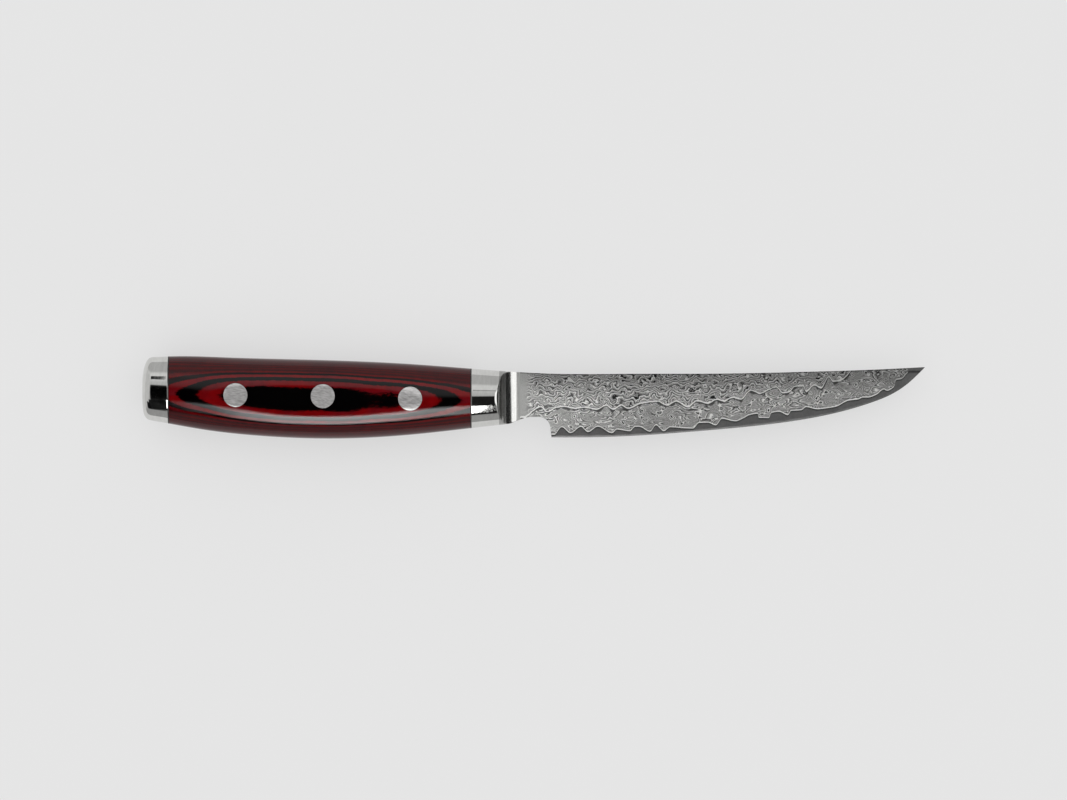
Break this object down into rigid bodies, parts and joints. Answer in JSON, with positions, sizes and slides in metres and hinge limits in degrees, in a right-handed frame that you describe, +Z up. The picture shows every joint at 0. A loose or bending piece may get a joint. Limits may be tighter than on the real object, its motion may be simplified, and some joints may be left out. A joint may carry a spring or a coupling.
{
  "type": "steak knife",
  "caption": "Steak knife with a layered-steel blade, full tang, riveted red and black laminate scales, scooped steel bolster and rounded end cap.",
  "frame": {"origin": "middle of the knife's outline in X and Y, at the flat land that it lies on", "axes": "+X along the knife towards the point, +Y from the edge towards the spine, +Z up, out of the knife's right side"},
  "size_m": [0.237, 0.025, 0.0163],
  "materials": {
    "core_steel": "satin, darker than the layered steel over it",
    "layered_steel": "satin with an etched pattern of wavy layers",
    "polished_steel": "polished",
    "rivet_steel": "polished, ground flush",
    "laminate": "polished canvas laminate in red and black layers",
    "adhesive": "dark cured adhesive"
  },
  "bodies": {
    "root": {"blade_core": "core_steel", "cladding_right": "layered_steel", "cladding_left": "layered_steel", "bolster_right": "polished_steel", "bolster_left": "polished_steel", "end_cap": "polished_steel", "scale_right": "laminate", "scale_left": "laminate", "adhesive_right": "adhesive", "adhesive_left": "adhesive", "rivet_rear_male": "rivet_steel", "rivet_rear_female": "rivet_steel", "rivet_middle_male": "rivet_steel", "rivet_middle_female": "rivet_steel", "rivet_front_male": "rivet_steel", "rivet_front_female": "rivet_steel"}
  },
  "joints": []
}
